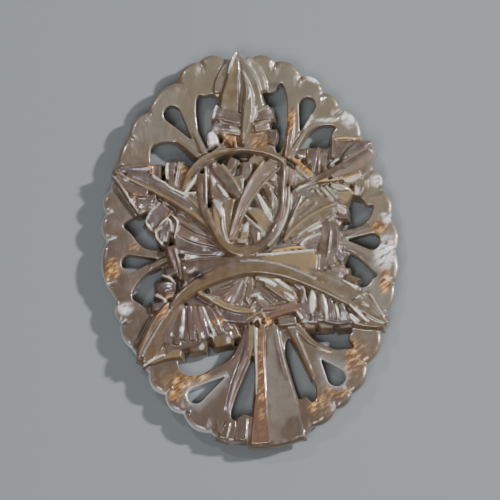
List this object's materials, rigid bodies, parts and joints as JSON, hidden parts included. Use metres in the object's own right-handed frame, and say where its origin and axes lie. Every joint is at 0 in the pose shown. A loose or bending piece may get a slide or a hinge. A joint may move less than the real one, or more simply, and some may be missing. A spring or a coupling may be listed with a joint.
{
  "type": "carved mother-of-pearl ornament",
  "caption": "Oval openwork ornament carved from one piece of mother-of-pearl shell, with leaves round a looped stem and a scalloped rim.",
  "frame": {"origin": "centre of the bounding box, on the flat ground on the back that the piece rests on", "axes": "+Z out of the carved face, +Y towards the top of the oval, +X to the right seen from the carved face"},
  "size_m": [0.0436, 0.0599, 0.0051],
  "materials": {
    "nacre": "polished nacre, pearly lustre"
  },
  "bodies": {
    "root": {"carved_shell": "nacre"}
  },
  "joints": []
}
